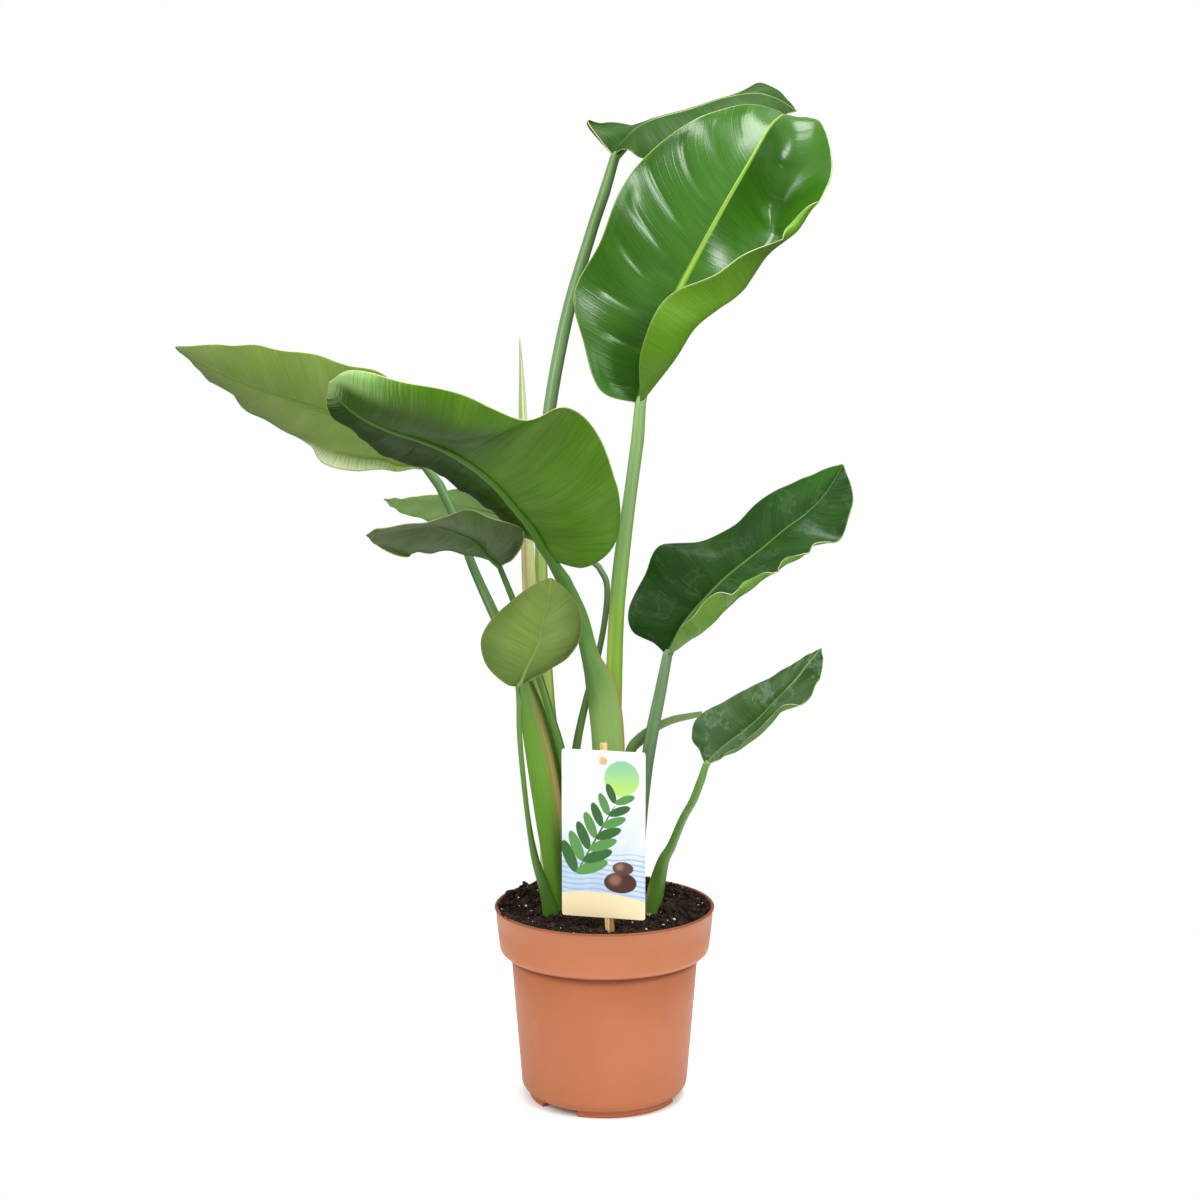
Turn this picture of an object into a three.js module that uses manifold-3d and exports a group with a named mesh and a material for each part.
// Potted bird of paradise: nine broad leaves on long stalks, one rolled new leaf and one bare
// stalk, standing in soil in a terracotta coloured nursery pot with a plant label on a stake.
//
// Units are millimetres. The origin is at the centre of the pot's underside, +Z is up, +X is to
// the right of the plant's front and +Y points away from it.
import * as THREE from 'three';
import { mergeVertices } from 'three/addons/utils/BufferGeometryUtils.js';
import Module from 'manifold-3d';

const wasm = await Module();
wasm.setup();

// ---------------------------------------------------------------- driving dimensions

const CLEARANCE = 0.35; // between neighbouring pieces
const HOLE_CLEARANCE = 0.4; // round a stalk in the soil

// Nursery pot, a thin-walled 17 cm round pot.
const POT_HEIGHT = 152;
const RIM_RADIUS = 85;
const WALL = 1.4;
const LIP_DEPTH = 2.2; // height of the bead round the rim
const LIP_PROUD = 0.7;
const COLLAR_FOOT_RADIUS = 81.3; // collar wall where its rounded lower edge begins
const COLLAR_BOTTOM = 114;
const COLLAR_ROUNDING = 6.5;
const BODY_TOP_RADIUS = 72.8;
const BODY_FOOT_RADIUS = 64.8;
const FOOT_ROUNDING = 10;
const FOOT_RING_OUTER = 58.4;
const FOOT_RING_INNER = 54;
const FOOT_RING_HEIGHT = 4;
const CHANNEL_INNER = 33; // raised drainage channel between the middle disc and the foot ring
const CHANNEL_RISE = 5;
const POT_SEGMENTS = 36;
const NOTCH_COUNT = 3;
const NOTCH_HALF_ANGLE = THREE.MathUtils.degToRad(17);
const FIRST_NOTCH_ANGLE = THREE.MathUtils.degToRad(-128); // front left, from +X towards +Y
const DRAIN_COUNT = 6;
const DRAIN_RADIUS = 4;
const DRAIN_CIRCLE = 43.5;

// Soil
const SOIL_TOP = 148.5;
const SOIL_LUMP = 1.6;
const SOIL_DOME = 1.5;
const SOIL_RINGS = 7;
const ROOT_LEVEL = 118; // stalks and stake end here, inside the soil

// Blades and stalks
const BLADE_THICKNESS = 1;
const BLADE_START = 0.015; // the blade's two ends stop just short of their points
const BLADE_END = 0.985;
const RIB_END = 0.93;
const RIB_TIP_RADIUS = 0.8;
const TUBE_SIDES = 8;
const SAMPLES_PER_STATION = 1.5;

// Plant label
const CARD_WIDTH = 64;
const CARD_HEIGHT = 127;
const CARD_THICKNESS = 0.6;
const CARD_CORNER = 1.5;
const CARD_CENTRE = [-1, -68, 223.5];
const CARD_YAW = THREE.MathUtils.degToRad(-14.5);
const PEG_HEIGHT = 56.5; // above the card's centre
const PEG_RADIUS = 1.6;
const PEG_HEAD_RADIUS = 2.8;
const PEG_HEAD_DEPTH = 1.6;
const STAKE_WIDTH = 7;
const STAKE_DEPTH = 3;
const STAKE_TOP = 69; // above the card's centre
const STAKE_LEAN = THREE.MathUtils.degToRad(2);

// ---------------------------------------------------------------- leaves
//
// A stalk's stations are [x, y, z, half width, half depth] from the soil up. A rib's stations are
// [x, y, z] from the blade's base to its tip. Each margin has one station beside each of the rib's
// inner stations, [x, y, z, bow], where bow pushes the middle of that half blade towards the
// blade's upper side, or its underside if negative. A large bow rolls the margin over. "left" is the
// half on the left of the rib for someone who looks at the upper side from base to tip. The margins
// undulate by wave, waves times from base to tip. rows and columns are the steps that a blade is cut
// into along its rib and across each half.

const LEAVES = {
  leaf_top_right: {
    stalk: [
      [6, 24, 143, 6.5, 6.5], [6, 22, 229, 6.5, 6.5], [7, 18, 309, 6.5, 6], [9, 14, 373, 6, 6],
      [13, 11, 420, 6, 5.5], [19, 8, 466, 5, 5], [25, 6, 512, 5, 5],
    ],
    rib: [
      [27, 5, 539], [30, 4, 553], [38, 3, 578], [48, 3, 608], [59, 4, 632], [74, 7, 659],
      [92, 14, 690], [110, 25, 720], [126, 45, 747], [138, 72, 759], [145, 95, 758],
    ],
    left: [
      [-3, -10, 550, -4], [-16, -9, 587, -8], [-23, -7, 621, -10], [-4, -2, 659, -10],
      [11, 5, 697, -10], [34, 18, 727, -8], [72, 33, 754, -6], [107, 57, 765, -4],
      [132, 82, 763, -2],
    ],
    right: [
      [26, -10, 552, -20], [27, -27, 579, -50], [35, -33, 605, -62], [54, -34, 624, -70],
      [82, -31, 637, -74], [112, -20, 654, -70], [145, -1, 675, -54], [171, 33, 715, -18],
      [167, 66, 752, -6],
    ],
    wave: 1.2,
    waves: 5,
    rows: 16,
    columns: 5,
    dull: false,
  },
  leaf_top_left: {
    stalk: [
      [-35, 32, 148, 6.5, 5.5], [-39, 33, 227, 6.5, 5.5], [-42, 34, 275, 6, 5],
      [-45, 36, 314, 5.5, 5], [-49, 42, 392, 5, 4.5], [-49, 50, 462, 4.5, 4.5],
      [-43, 60, 531, 5, 5], [-29, 72, 605, 5, 5], [-11, 82, 667, 4.5, 4.5], [0, 86, 700, 4.5, 4.5],
    ],
    rib: [
      [8, 88, 727], [14, 87, 736], [23, 87, 748], [39, 89, 757], [67, 94, 765], [94, 100, 774],
      [119, 108, 778], [137, 114, 774], [153, 118, 765],
    ],
    left: [
      [-16, 99, 754, -6], [-2, 117, 753, -4], [30, 139, 753, 4], [69, 148, 762, 5],
      [99, 142, 772, 4], [121, 126, 787, 3], [140, 122, 779, 2],
    ],
    right: [
      [10, 79, 731, 2], [19, 67, 731, 4], [33, 61, 725, 8], [66, 62, 731, 8], [95, 66, 741, 8],
      [118, 78, 750, 6], [137, 96, 759, 3],
    ],
    wave: 1.0,
    waves: 4,
    rows: 13,
    columns: 4,
    dull: false,
  },
  leaf_centre: {
    stalk: [
      [2, -8, 152, 10.5, 8.5], [3, -9, 213, 12, 8.5], [3, -11, 277, 12.5, 7.5],
      [0, -12, 311, 12.5, 6.5], [-4, -13, 330, 11, 6], [-11, -15, 350, 7, 5.5],
      [-19, -17, 381, 6, 5], [-31, -20, 408, 5.5, 4.5],
    ],
    rib: [
      [-40, -22, 423], [-46, -25, 435], [-53, -30, 448], [-66, -38, 465], [-84, -48, 486],
      [-107, -58, 504], [-131, -66, 516], [-155, -74, 524], [-177, -80, 535], [-191, -84, 548],
      [-197, -86, 559],
    ],
    left: [
      [-14, -31, 419, -3], [9, -46, 437, -4], [11, -64, 473, -6], [-3, -80, 518, -8],
      [-28, -92, 541, -8], [-62, -100, 534, -8], [-108, -104, 552, -8], [-151, -104, 561, -6],
      [-181, -96, 568, -3],
    ],
    right: [
      [-48, -15, 433, -2], [-57, 2, 436, -6], [-74, 12, 448, -10], [-94, 14, 464, -12],
      [-113, 8, 480, -12], [-139, -4, 493, -12], [-167, -24, 506, -10], [-188, -52, 525, -6],
      [-200, -74, 540, -2],
    ],
    wave: 1.6,
    waves: 5,
    rows: 15,
    columns: 5,
    dull: false,
  },
  leaf_far_left: {
    stalk: [
      [-34, -6, 147, 8.5, 5.5], [-37, -6, 188, 11, 6], [-40, -6, 220, 13, 6.5],
      [-46, -5, 260, 13, 6.5], [-53, -2, 294, 11, 6], [-60, 2, 320, 7.5, 5],
      [-74, 14, 353, 4.5, 4.5], [-89, 27, 383, 4, 4], [-103, 40, 412, 3.5, 3.5],
      [-116, 50, 446, 3.5, 3.5], [-129, 56, 473, 4, 4],
    ],
    rib: [
      [-140, 60, 487], [-152, 63, 496], [-167, 66, 507], [-190, 69, 519], [-216, 70, 530],
      [-242, 70, 539], [-270, 68, 548], [-294, 66, 558], [-317, 63, 570], [-334, 60, 581],
    ],
    left: [
      [-139, 38, 517, -4], [-150, 22, 547, -8], [-167, 19, 560, -10], [-194, 18, 568, -10],
      [-224, 20, 576, -10], [-257, 26, 581, -8], [-287, 36, 583, -6], [-313, 49, 582, -3],
    ],
    right: [
      [-146, 78, 485, -4], [-163, 111, 482, -8], [-187, 129, 481, -10], [-220, 134, 492, -10],
      [-248, 130, 504, -10], [-276, 118, 522, -8], [-303, 102, 545, -6], [-321, 79, 564, -3],
    ],
    wave: 1.6,
    waves: 6,
    rows: 14,
    columns: 4,
    dull: false,
  },
  leaf_mid_left: {
    stalk: [
      [-17, -11, 151, 5, 4.5], [-21, -10, 197, 4, 4], [-27, -12, 237, 3.5, 3.5],
      [-33, -13, 276, 3, 3], [-41, -11, 303, 3, 3], [-48, -7, 326, 3, 3], [-60, -1, 359, 3, 3],
      [-70, 3, 390, 2.5, 2.5],
    ],
    rib: [
      [-80, 4, 415], [-84, 3, 420], [-90, 1, 426], [-98, -1, 436], [-111, -2, 442],
      [-126, -3, 447], [-144, -4, 447], [-163, -5, 442], [-181, -6, 441],
    ],
    left: [
      [-68, -7, 427, -3], [-60, -27, 445, -6], [-76, -33, 454, -8], [-97, -32, 461, -8],
      [-118, -27, 458, -6], [-138, -22, 451, -4], [-168, -13, 447, -2],
    ],
    right: [
      [-85, 7, 420, -2], [-92, 15, 421, -5], [-110, 23, 423, -7], [-127, 26, 425, -8],
      [-142, 23, 424, -6], [-153, 16, 423, -4], [-171, 5, 430, -2],
    ],
    wave: 1.2,
    waves: 4,
    rows: 10,
    columns: 4,
    dull: false,
  },
  leaf_back_left: {
    stalk: [
      [-28, 22, 149, 4.5, 4], [-26, 26, 228, 4, 3.5], [-22, 32, 268, 3.5, 3], [-15, 38, 302, 3, 3],
      [-5, 48, 339, 2.5, 2.5], [1, 62, 370, 2.5, 2.5], [2, 78, 392, 2.5, 2.5],
      [-4, 90, 404, 2.5, 2.5],
    ],
    rib: [
      [-17, 98, 415], [-28, 100, 421], [-48, 102, 431], [-72, 104, 441], [-96, 104, 449],
      [-120, 102, 454], [-142, 100, 457], [-160, 98, 458], [-177, 96, 459],
    ],
    left: [
      [-26, 85, 435, -3], [-45, 70, 455, -6], [-68, 64, 467, -8], [-92, 62, 471, -8],
      [-117, 66, 468, -8], [-140, 74, 464, -6], [-160, 86, 460, -3],
    ],
    right: [
      [-34, 108, 415, -3], [-54, 127, 421, -6], [-82, 140, 423, -8], [-109, 144, 428, -8],
      [-133, 138, 433, -8], [-154, 126, 441, -6], [-167, 110, 448, -3],
    ],
    wave: 1.2,
    waves: 5,
    rows: 10,
    columns: 4,
    dull: false,
  },
  leaf_small_front: {
    stalk: [
      [-41, -24, 150, 6.5, 3.5], [-46, -25, 171, 4.5, 3], [-53, -27, 195, 3, 3],
      [-58, -31, 226, 2, 2], [-62, -36, 266, 2, 2], [-64, -41, 297, 2, 2], [-64, -44, 318, 2, 2],
    ],
    rib: [
      [-65, -46, 331], [-62, -47, 336], [-59, -50, 344], [-53, -55, 357], [-48, -61, 370],
      [-45, -68, 386], [-41, -75, 402], [-39, -82, 418],
    ],
    left: [
      [-54, -49, 337, 1], [-38, -46, 346, 2], [-25, -47, 356, 3], [-17, -52, 373, 3],
      [-19, -60, 393, 3], [-29, -70, 408, 2],
    ],
    right: [
      [-74, -49, 334, 1], [-88, -47, 347, 2], [-92, -49, 365, 3], [-86, -54, 380, 3],
      [-71, -62, 396, 3], [-54, -72, 410, 2],
    ],
    wave: 0.5,
    waves: 3,
    rows: 10,
    columns: 4,
    dull: false,
  },
  leaf_right: {
    stalk: [
      [23, 10, 150, 5.5, 5.5], [25, 8, 177, 5.5, 5], [28, 5, 217, 5, 5], [32, 2, 257, 5, 4.5],
      [37, 1, 289, 5, 4.5], [43, 0, 320, 4.5, 4.5],
    ],
    rib: [
      [48, 0, 347], [51, 0, 355], [58, 0, 369], [68, 1, 382], [79, 2, 394], [91, 4, 406],
      [106, 7, 418], [122, 10, 430], [138, 14, 443], [155, 19, 455], [170, 24, 470],
      [184, 30, 492],
    ],
    left: [
      [35, 6, 354, 2], [20, 8, 370, 4], [21, 11, 387, 5], [31, 14, 408, 6], [43, 18, 430, 6],
      [72, 23, 432, 6], [101, 28, 445, 5], [126, 32, 468, 4], [151, 33, 479, 2], [171, 32, 488, 1],
    ],
    right: [
      [50, -12, 355, -10], [58, -24, 371, -25], [69, -29, 387, -33], [83, -32, 398, -31],
      [100, -32, 402, -23], [118, -29, 411, -18], [139, -24, 419, -8], [156, -16, 431, -4],
      [177, -3, 436, -2], [190, 14, 465, 0],
    ],
    wave: 1.2,
    waves: 5,
    rows: 14,
    columns: 5,
    dull: true,
  },
  leaf_lower_right: {
    stalk: [
      [36, -22, 150, 4.5, 4.5], [38, -22, 162, 6.5, 5], [41, -23, 177, 6, 4.5],
      [45, -26, 193, 4.5, 4], [51, -28, 205, 3.5, 3], [59, -32, 226, 3, 3], [67, -35, 242, 3, 3],
      [73, -38, 259, 3, 3],
    ],
    rib: [
      [76, -40, 270], [81, -41, 277], [91, -43, 287], [103, -46, 297], [115, -49, 308],
      [127, -52, 322], [140, -55, 336], [150, -58, 350], [160, -60, 363],
    ],
    left: [
      [72, -36, 279, 1], [66, -33, 291, 2], [70, -32, 305, 2], [88, -35, 317, 2],
      [110, -40, 330, 2], [133, -47, 344, 1], [148, -54, 355, 0],
    ],
    right: [
      [88, -47, 277, -2], [101, -57, 286, -6], [119, -64, 301, -5], [132, -67, 316, -3],
      [149, -66, 324, -2], [158, -63, 339, -1], [161, -62, 352, 0],
    ],
    wave: 0.6,
    waves: 4,
    rows: 10,
    columns: 4,
    dull: true,
  },
};

const SPEAR = [
  [-44, 18, 150, 5, 4.5], [-48, 17, 262, 5.5, 5], [-53, 18, 317, 5.5, 5], [-58, 22, 395, 5.5, 5],
  [-60, 26, 449, 4.5, 4.5], [-62, 30, 503, 4, 4], [-63, 32, 537, 3, 3], [-64, 34, 567, 1.5, 1.5],
  [-65, 35, 588, 0.5, 0.5],
];

const BARE_STALK = [
  [13, 10, 152, 3.5, 3.5], [13, 10, 208, 3.5, 3.5], [14, 10, 244, 4, 3.5], [20, 11, 270, 4, 3.5],
  [27, 12, 279, 4.5, 3], [37, 14, 287, 3.5, 3], [52, 15, 294, 3, 2.5], [66, 16, 297, 2.5, 2.5],
  [76, 16, 299, 2, 2],
];

// ---------------------------------------------------------------- curves and solids

// Uniform Catmull-Rom spline through rows of numbers, at t from 0 to 1.
function spline(rows, t) {
  const last = rows.length - 1;
  const place = THREE.MathUtils.clamp(t, 0, 1) * last;
  const i = Math.min(Math.floor(place), last - 1);
  const f = place - i;
  const before = i > 0 ? rows[i - 1] : rows[0].map((v, k) => 2 * v - rows[1][k]);
  const after = i < last - 1 ? rows[i + 2] : rows[last].map((v, k) => 2 * v - rows[last - 1][k]);
  return rows[i].map((b, k) => {
    const [a, c, d] = [before[k], rows[i + 1][k], after[k]];
    return 0.5 * (2 * b + (c - a) * f + (2 * a - 5 * b + 4 * c - d) * f * f
      + (3 * b - a - 3 * c + d) * f * f * f);
  });
}

const vector = (row) => new THREE.Vector3(row[0], row[1], row[2]);

function toSolid(geometry) {
  const bare = geometry.clone();
  bare.deleteAttribute('normal');
  bare.deleteAttribute('uv');
  const merged = mergeVertices(bare, 1e-4);
  return new wasm.Manifold(new wasm.Mesh({
    numProp: 3,
    vertProperties: Float32Array.from(merged.attributes.position.array),
    triVerts: Uint32Array.from(merged.index.array),
  }));
}

function toGeometry(solid) {
  const mesh = solid.getMesh();
  const geometry = new THREE.BufferGeometry();
  geometry.setAttribute('position', new THREE.BufferAttribute(mesh.vertProperties, mesh.numProp));
  geometry.setIndex(new THREE.BufferAttribute(mesh.triVerts, 1));
  geometry.computeVertexNormals();
  return geometry;
}

function meshGeometry(points, triangles) {
  const geometry = new THREE.BufferGeometry();
  geometry.setAttribute('position', new THREE.Float32BufferAttribute(points.flatMap((p) => p.toArray()), 3));
  geometry.setIndex(triangles.flat());
  return geometry;
}

// A closed tube of oval sections. Each section is { centre, width, depth }, both half sizes.
function tubeGeometry(sections) {
  const points = [];
  const triangles = [];
  let across = new THREE.Vector3();
  sections.forEach((section, i) => {
    const ahead = sections[Math.min(i + 1, sections.length - 1)].centre;
    const behind = sections[Math.max(i - 1, 0)].centre;
    const along = ahead.clone().sub(behind).normalize();
    if (i === 0) across.crossVectors(new THREE.Vector3(0, 1, 0), along);
    across = across.addScaledVector(along, -across.dot(along)).normalize();
    const outward = new THREE.Vector3().crossVectors(along, across);
    for (let k = 0; k < TUBE_SIDES; k += 1) {
      const angle = (2 * Math.PI * k) / TUBE_SIDES;
      points.push(section.centre.clone()
        .addScaledVector(across, section.width * Math.cos(angle))
        .addScaledVector(outward, section.depth * Math.sin(angle)));
    }
  });
  for (let i = 0; i < sections.length - 1; i += 1) {
    for (let k = 0; k < TUBE_SIDES; k += 1) {
      const a = i * TUBE_SIDES + k;
      const b = i * TUBE_SIDES + ((k + 1) % TUBE_SIDES);
      triangles.push([a, b, b + TUBE_SIDES], [a, b + TUBE_SIDES, a + TUBE_SIDES]);
    }
  }
  const top = (sections.length - 1) * TUBE_SIDES;
  for (let k = 1; k < TUBE_SIDES - 1; k += 1) {
    triangles.push([0, k + 1, k], [top, top + k, top + k + 1]);
  }
  return meshGeometry(points, triangles);
}

// Oval sections of a stalk, from its end in the soil through all its stations.
function stalkSections(stations) {
  const [x, y, , width, depth] = stations[0];
  const path = [[x, y, ROOT_LEVEL, width * 0.9, depth * 0.9], ...stations];
  const count = Math.ceil((path.length - 1) * SAMPLES_PER_STATION);
  return Array.from({ length: count + 1 }, (_, i) => {
    const row = spline(path, i / count);
    return { centre: vector(row), width: row[3], depth: row[4] };
  });
}

// The plain hole that a stalk stands in, past the soil's surface.
function stalkHole(stations) {
  const sections = stalkSections(stations);
  const above = sections.findIndex((section) => section.centre.z > SOIL_TOP + 3 * SOIL_LUMP);
  sections[0].centre.z -= HOLE_CLEARANCE;
  return tubeGeometry(sections.slice(0, above + 2).map((section) => ({
    centre: section.centre,
    width: section.width + HOLE_CLEARANCE,
    depth: section.depth + HOLE_CLEARANCE,
  })));
}

// Points of the blade's middle surface: one row of 2 * columns + 1 points for each step.
function bladeGrid(leaf) {
  const close = (margin) => [[...leaf.rib[0], 0], ...margin, [...leaf.rib.at(-1), 0]];
  const margins = [close(leaf.left), close(leaf.right)];
  const steps = Array.from({ length: leaf.rows + 1 }, (_, i) => {
    const even = i / leaf.rows;
    const crowded = even - 0.07 * Math.sin(2 * Math.PI * even);
    return BLADE_START + (BLADE_END - BLADE_START) * crowded;
  });
  return steps.map((t) => {
    const rib = vector(spline(leaf.rib, t));
    const along = vector(spline(leaf.rib, t + 0.01)).sub(vector(spline(leaf.rib, t - 0.01)));
    const row = [];
    margins.forEach((margin, side) => {
      const station = spline(margin, t);
      const edge = vector(station);
      const across = edge.clone().sub(rib);
      const upper = side === 0
        ? new THREE.Vector3().crossVectors(along, across)
        : new THREE.Vector3().crossVectors(across, along);
      upper.normalize();
      const wave = leaf.wave * Math.sin(2 * Math.PI * (leaf.waves * t + side * 0.4));
      const middle = rib.clone().add(edge).multiplyScalar(0.5).addScaledVector(upper, station[3]);
      const half = [];
      for (let k = side; k <= leaf.columns; k += 1) {
        const s = k / leaf.columns;
        half.push(rib.clone().multiplyScalar((1 - s) ** 2)
          .addScaledVector(middle, 2 * s * (1 - s))
          .addScaledVector(edge, s * s)
          .addScaledVector(upper, wave * s * s * Math.sin(Math.PI * t)));
      }
      if (side === 0) half.reverse();
      row.push(...half);
    });
    return row;
  });
}

// Upward normals of the middle surface.
function gridNormals(grid) {
  const rows = grid.length - 1;
  const columns = grid[0].length - 1;
  return grid.map((row, i) => row.map((_, k) => {
    const along = grid[Math.min(i + 1, rows)][k].clone().sub(grid[Math.max(i - 1, 0)][k]);
    const right = row[Math.min(k + 1, columns)].clone().sub(row[Math.max(k - 1, 0)]);
    return right.cross(along).normalize();
  }));
}

// The blade as a sheet of even thickness, cut into the same triangles on both faces.
function bladeGeometry(grid, normals) {
  const rows = grid.length;
  const columns = grid[0].length;
  const points = [];
  const triangles = [];
  [0.5, -0.5].forEach((side) => grid.forEach((row, i) => row.forEach((point, k) => {
    points.push(point.clone().addScaledVector(normals[i][k], side * BLADE_THICKNESS));
  })));
  const under = rows * columns;
  const at = (i, k) => i * columns + k;
  for (let i = 0; i < rows - 1; i += 1) {
    for (let k = 0; k < columns - 1; k += 1) {
      const [a, b, c, d] = [at(i, k), at(i, k + 1), at(i + 1, k + 1), at(i + 1, k)];
      triangles.push([a, b, c], [a, c, d]);
      triangles.push([under + a, under + c, under + b], [under + a, under + d, under + c]);
    }
  }
  const rim = [];
  for (let k = 0; k < columns - 1; k += 1) rim.push(at(0, k));
  for (let i = 0; i < rows - 1; i += 1) rim.push(at(i, columns - 1));
  for (let k = columns - 1; k > 0; k -= 1) rim.push(at(rows - 1, k));
  for (let i = rows - 1; i > 0; i -= 1) rim.push(at(i, 0));
  rim.forEach((a, n) => {
    const b = rim[(n + 1) % rim.length];
    triangles.push([a, under + a, under + b], [a, under + b, b]);
  });
  return meshGeometry(points, triangles);
}

// One whole leaf: the stalk runs on as a tapering rib along the blade's underside.
function leafGeometry(leaf) {
  const grid = bladeGrid(leaf);
  const normals = gridNormals(grid);
  const stalk = stalkSections(leaf.stalk);
  const joint = stalk.at(-1);
  const ribs = [];
  grid.forEach((row, i) => {
    const even = i / leaf.rows;
    if (even > RIB_END) return;
    const radius = THREE.MathUtils.lerp(joint.depth * 0.85, RIB_TIP_RADIUS, even / RIB_END);
    const drop = radius * 0.7 * Math.min(1, even / 0.15);
    ribs.push({
      centre: row[leaf.columns].clone().addScaledVector(normals[i][leaf.columns], -drop),
      width: radius,
      depth: radius,
    });
  });
  const tube = toSolid(tubeGeometry([...stalk, ...ribs]));
  return toGeometry(tube.add(toSolid(bladeGeometry(grid, normals))));
}

// ---------------------------------------------------------------- pot

// Points of a round corner in a lathe profile, from one angle to another in degrees.
function corner(centreRadius, centreHeight, radius, from, to, steps) {
  return Array.from({ length: steps + 1 }, (_, i) => {
    const angle = THREE.MathUtils.degToRad(from + ((to - from) * i) / steps);
    return [centreRadius + radius * Math.cos(angle), centreHeight + radius * Math.sin(angle)];
  });
}

const COLLAR_CORNER = [COLLAR_FOOT_RADIUS - COLLAR_ROUNDING, COLLAR_BOTTOM + COLLAR_ROUNDING];
const FOOT_CORNER = [BODY_FOOT_RADIUS - FOOT_ROUNDING, FOOT_RING_HEIGHT + FOOT_ROUNDING];

// The wall's inside, from the floor up, set in from the outside by the wall and any gap.
function insideProfile(gap) {
  const inset = WALL + gap;
  return [
    ...corner(...FOOT_CORNER, FOOT_ROUNDING - inset, -65, 0, 2),
    [BODY_TOP_RADIUS - inset, COLLAR_BOTTOM + inset],
    ...corner(...COLLAR_CORNER, COLLAR_ROUNDING - inset, -70, 0, 2),
    [RIM_RADIUS - LIP_PROUD - inset, POT_HEIGHT],
  ];
}

function latheSolid(profile) {
  const outline = profile.map(([radius, height]) => new THREE.Vector2(radius, height));
  const lathe = new THREE.LatheGeometry(outline, POT_SEGMENTS);
  return toSolid(lathe.rotateX(Math.PI / 2));
}

// A box that cuts the foot ring between two angles, tapered towards the pot's axis.
function notchSolid(middle) {
  const [near, far] = [FOOT_RING_INNER - 2, BODY_FOOT_RADIUS + 4];
  const outline = new THREE.Shape();
  outline.moveTo(near * Math.cos(-NOTCH_HALF_ANGLE), near * Math.sin(-NOTCH_HALF_ANGLE));
  outline.lineTo(far * Math.cos(-NOTCH_HALF_ANGLE), far * Math.sin(-NOTCH_HALF_ANGLE));
  outline.lineTo(far * Math.cos(NOTCH_HALF_ANGLE), far * Math.sin(NOTCH_HALF_ANGLE));
  outline.lineTo(near * Math.cos(NOTCH_HALF_ANGLE), near * Math.sin(NOTCH_HALF_ANGLE));
  const block = new THREE.ExtrudeGeometry(outline, { depth: CHANNEL_RISE + 1, bevelEnabled: false });
  return toSolid(block.translate(0, 0, -1).rotateZ(middle));
}

function potGeometry() {
  const floorTop = CHANNEL_RISE + WALL;
  const profile = [
    [0, 0],
    [CHANNEL_INNER - 2, 0],
    [CHANNEL_INNER, CHANNEL_RISE],
    [FOOT_RING_INNER - 1, CHANNEL_RISE],
    [FOOT_RING_INNER, 0],
    [FOOT_RING_OUTER, 0],
    [FOOT_RING_OUTER, FOOT_RING_HEIGHT - 1],
    [FOOT_RING_OUTER - 0.8, FOOT_RING_HEIGHT - 0.4],
    ...corner(...FOOT_CORNER, FOOT_ROUNDING, -68, 0, 3),
    [BODY_TOP_RADIUS, COLLAR_BOTTOM],
    ...corner(...COLLAR_CORNER, COLLAR_ROUNDING, -85, 0, 3),
    [RIM_RADIUS - LIP_PROUD, POT_HEIGHT - LIP_DEPTH],
    [RIM_RADIUS, POT_HEIGHT - LIP_DEPTH * 0.6],
    [RIM_RADIUS - 0.4, POT_HEIGHT],
    ...insideProfile(0).reverse(),
    [CHANNEL_INNER - 1, floorTop],
    [CHANNEL_INNER - 3, WALL],
    [0, WALL],
  ];
  let pot = latheSolid(profile);
  for (let i = 0; i < NOTCH_COUNT; i += 1) {
    pot = pot.subtract(notchSolid(FIRST_NOTCH_ANGLE + (2 * Math.PI * i) / NOTCH_COUNT));
  }
  for (let i = 0; i < DRAIN_COUNT; i += 1) {
    const angle = (2 * Math.PI * (i + 0.5)) / DRAIN_COUNT;
    const drill = new THREE.CylinderGeometry(DRAIN_RADIUS, DRAIN_RADIUS, 4 * WALL, 8);
    drill.rotateX(Math.PI / 2);
    drill.translate(DRAIN_CIRCLE * Math.cos(angle), DRAIN_CIRCLE * Math.sin(angle), CHANNEL_RISE + WALL / 2);
    pot = pot.subtract(toSolid(drill));
  }
  return toGeometry(pot);
}

// ---------------------------------------------------------------- soil

function soilHeight(x, y) {
  const far = Math.hypot(x, y) / RIM_RADIUS;
  const lumps = Math.sin(0.21 * x + 1.3) * Math.sin(0.19 * y + 0.4) + 0.6 * Math.sin(0.37 * x - 0.33 * y)
    + 0.5 * Math.cos(0.43 * y + 0.12 * x);
  return SOIL_TOP + SOIL_DOME * (1 - far * far) + (SOIL_LUMP / 2) * lumps;
}

function soilSolid() {
  const side = insideProfile(CLEARANCE).slice(0, -1);
  const rim = side.at(-1)[0] + (RIM_RADIUS - LIP_PROUD - WALL - CLEARANCE - side.at(-1)[0]) * 0.8;
  const bed = CHANNEL_RISE + WALL + CLEARANCE;
  const profile = [[0, bed], [FOOT_CORNER[0], bed], ...side.slice(1), [rim, SOIL_TOP]];
  for (let ring = SOIL_RINGS - 1; ring >= 0; ring -= 1) {
    profile.push([(rim * ring) / SOIL_RINGS, SOIL_TOP]);
  }
  const outline = profile.map(([radius, height]) => new THREE.Vector2(radius, height));
  const lathe = new THREE.LatheGeometry(outline, POT_SEGMENTS).rotateX(Math.PI / 2);
  const position = lathe.attributes.position;
  for (let i = 0; i < position.count; i += 1) {
    if (position.getZ(i) > SOIL_TOP - 0.01) position.setZ(i, soilHeight(position.getX(i), position.getY(i)));
  }
  return toSolid(lathe);
}

function soilGeometry(stalks, stake) {
  let soil = soilSolid();
  stalks.forEach((stations) => {
    soil = soil.subtract(toSolid(stalkHole(stations)));
  });
  return toGeometry(soil.subtract(stake));
}

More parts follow.
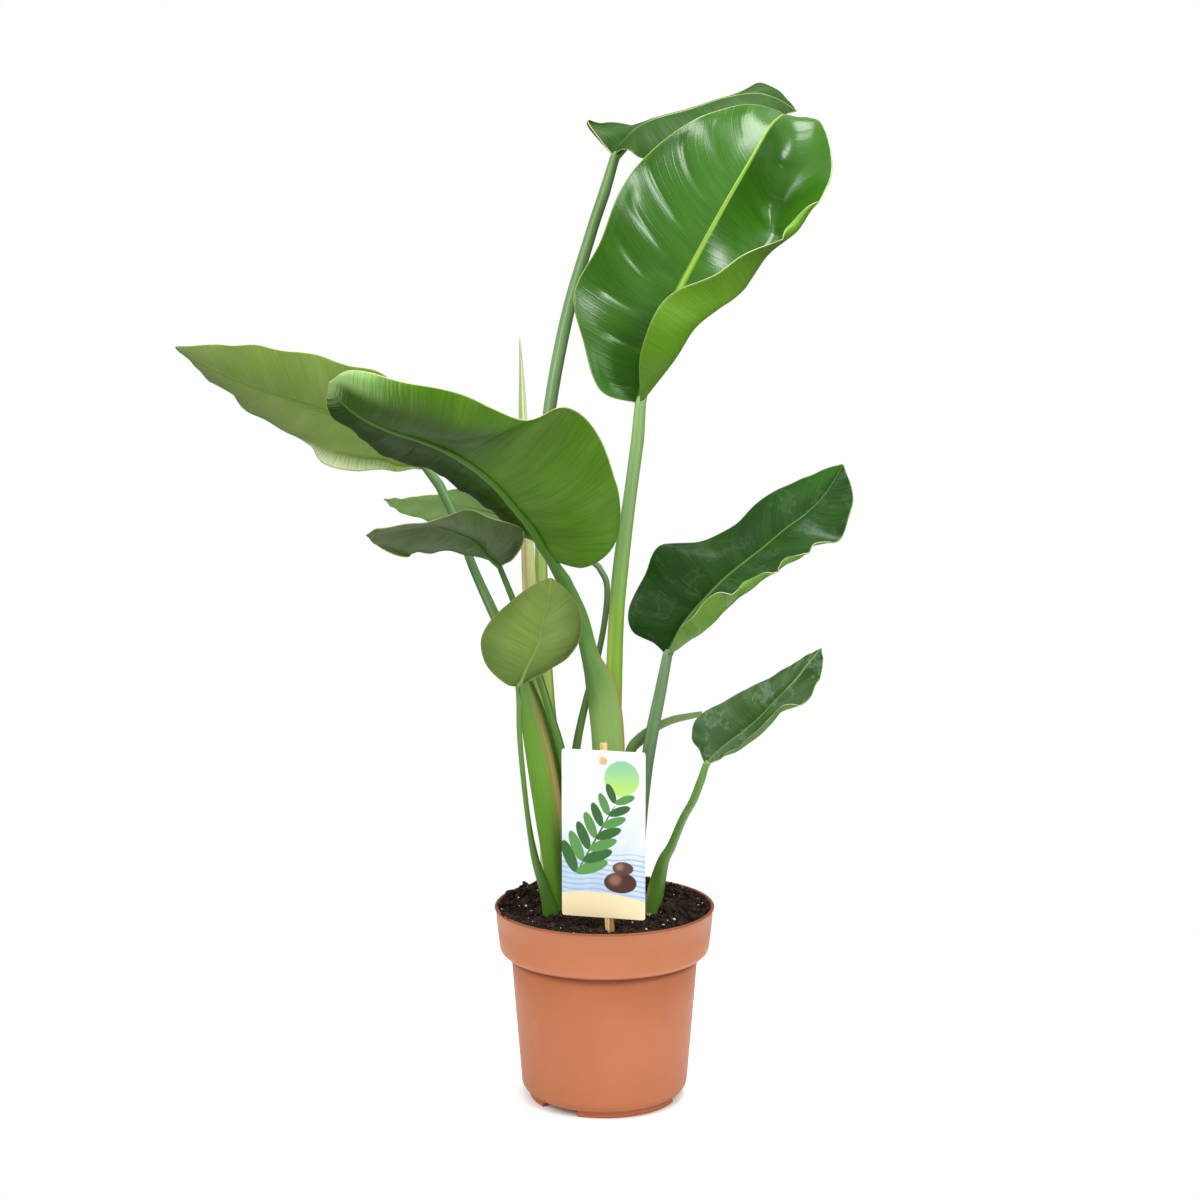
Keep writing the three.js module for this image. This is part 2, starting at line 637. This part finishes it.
// ---------------------------------------------------------------- label and stake

// Both are made about the card's centre: x along the card, y towards its back, z up.
function cardGeometry() {
  const [w, h, r] = [CARD_WIDTH / 2, CARD_HEIGHT / 2, CARD_CORNER];
  const outline = new THREE.Shape();
  outline.absarc(w - r, -h + r, r, -Math.PI / 2, 0);
  outline.absarc(w - r, h - r, r, 0, Math.PI / 2);
  outline.absarc(-w + r, h - r, r, Math.PI / 2, Math.PI);
  outline.absarc(-w + r, -h + r, r, Math.PI, 1.5 * Math.PI);
  outline.closePath();
  const hole = new THREE.Path();
  hole.absarc(0, PEG_HEIGHT, PEG_RADIUS + 1.5 * CLEARANCE, 0, 2 * Math.PI, true);
  outline.holes.push(hole);
  const card = new THREE.ExtrudeGeometry(outline, { depth: CARD_THICKNESS, bevelEnabled: false, curveSegments: 4 });
  return card.translate(0, 0, -CARD_THICKNESS / 2).rotateX(Math.PI / 2);
}

function stakeSolid(grow) {
  const foot = ROOT_LEVEL - CARD_CENTRE[2] - grow;
  const stick = new THREE.BoxGeometry(STAKE_WIDTH + 2 * grow, STAKE_DEPTH + 2 * grow, STAKE_TOP - foot);
  stick.translate(0, 0, (STAKE_TOP + foot) / 2);
  stick.translate(0, 0, -PEG_HEIGHT).rotateY(-STAKE_LEAN).translate(0, 0, PEG_HEIGHT);
  stick.translate(0, CARD_THICKNESS / 2 + CLEARANCE + STAKE_DEPTH / 2, 0);
  return toSolid(stick);
}

function stakeGeometry() {
  const reach = CARD_THICKNESS + 2 * CLEARANCE + 1;
  const shaft = new THREE.CylinderGeometry(PEG_RADIUS, PEG_RADIUS, reach, 10);
  shaft.translate(0, (1 - CARD_THICKNESS) / 2, PEG_HEIGHT);
  const head = new THREE.CylinderGeometry(PEG_HEAD_RADIUS, PEG_HEAD_RADIUS, PEG_HEAD_DEPTH, 12);
  head.translate(0, -CARD_THICKNESS / 2 - CLEARANCE - PEG_HEAD_DEPTH / 2, PEG_HEIGHT);
  return toGeometry(stakeSolid(0).add(toSolid(shaft)).add(toSolid(head)));
}

// ---------------------------------------------------------------- materials

const plastic = new THREE.MeshStandardMaterial({ color: '#c47a57', roughness: 0.5 });
const peat = new THREE.MeshStandardMaterial({ color: '#2b1d16', roughness: 0.95 });
const glossyLeaf = new THREE.MeshStandardMaterial({ color: '#3a7527', roughness: 0.35 });
const dullLeaf = new THREE.MeshStandardMaterial({ color: '#355a33', roughness: 0.5 });
const paleLeaf = new THREE.MeshStandardMaterial({ color: '#9fb86a', roughness: 0.5 });
const card = new THREE.MeshStandardMaterial({ color: '#f2f0ea', roughness: 0.35 });
const bamboo = new THREE.MeshStandardMaterial({ color: '#c9975c', roughness: 0.6 });

// ---------------------------------------------------------------- assembly

const group = new THREE.Group();

function place(name, geometry, material, parent = group) {
  const mesh = new THREE.Mesh(geometry, material);
  mesh.name = name;
  parent.add(mesh);
}

const label = new THREE.Group();
label.position.fromArray(CARD_CENTRE);
label.rotation.z = CARD_YAW;
group.add(label);

const TURN = THREE.MathUtils.radToDeg(CARD_YAW);
const stakeHole = stakeSolid(CLEARANCE).rotate([0, 0, TURN]).translate(CARD_CENTRE);
const stalks = [...Object.values(LEAVES).map((leaf) => leaf.stalk), SPEAR, BARE_STALK];

place('pot', potGeometry(), plastic);
place('soil', soilGeometry(stalks, stakeHole), peat);
Object.entries(LEAVES).forEach(([name, leaf]) => {
  place(name, leafGeometry(leaf), leaf.dull ? dullLeaf : glossyLeaf);
});
place('spear', tubeGeometry(stalkSections(SPEAR)), paleLeaf);
place('bare_stalk', tubeGeometry(stalkSections(BARE_STALK)), dullLeaf);
place('tag_card', cardGeometry(), card, label);
place('tag_stake', stakeGeometry(), bamboo, label);

export default group;
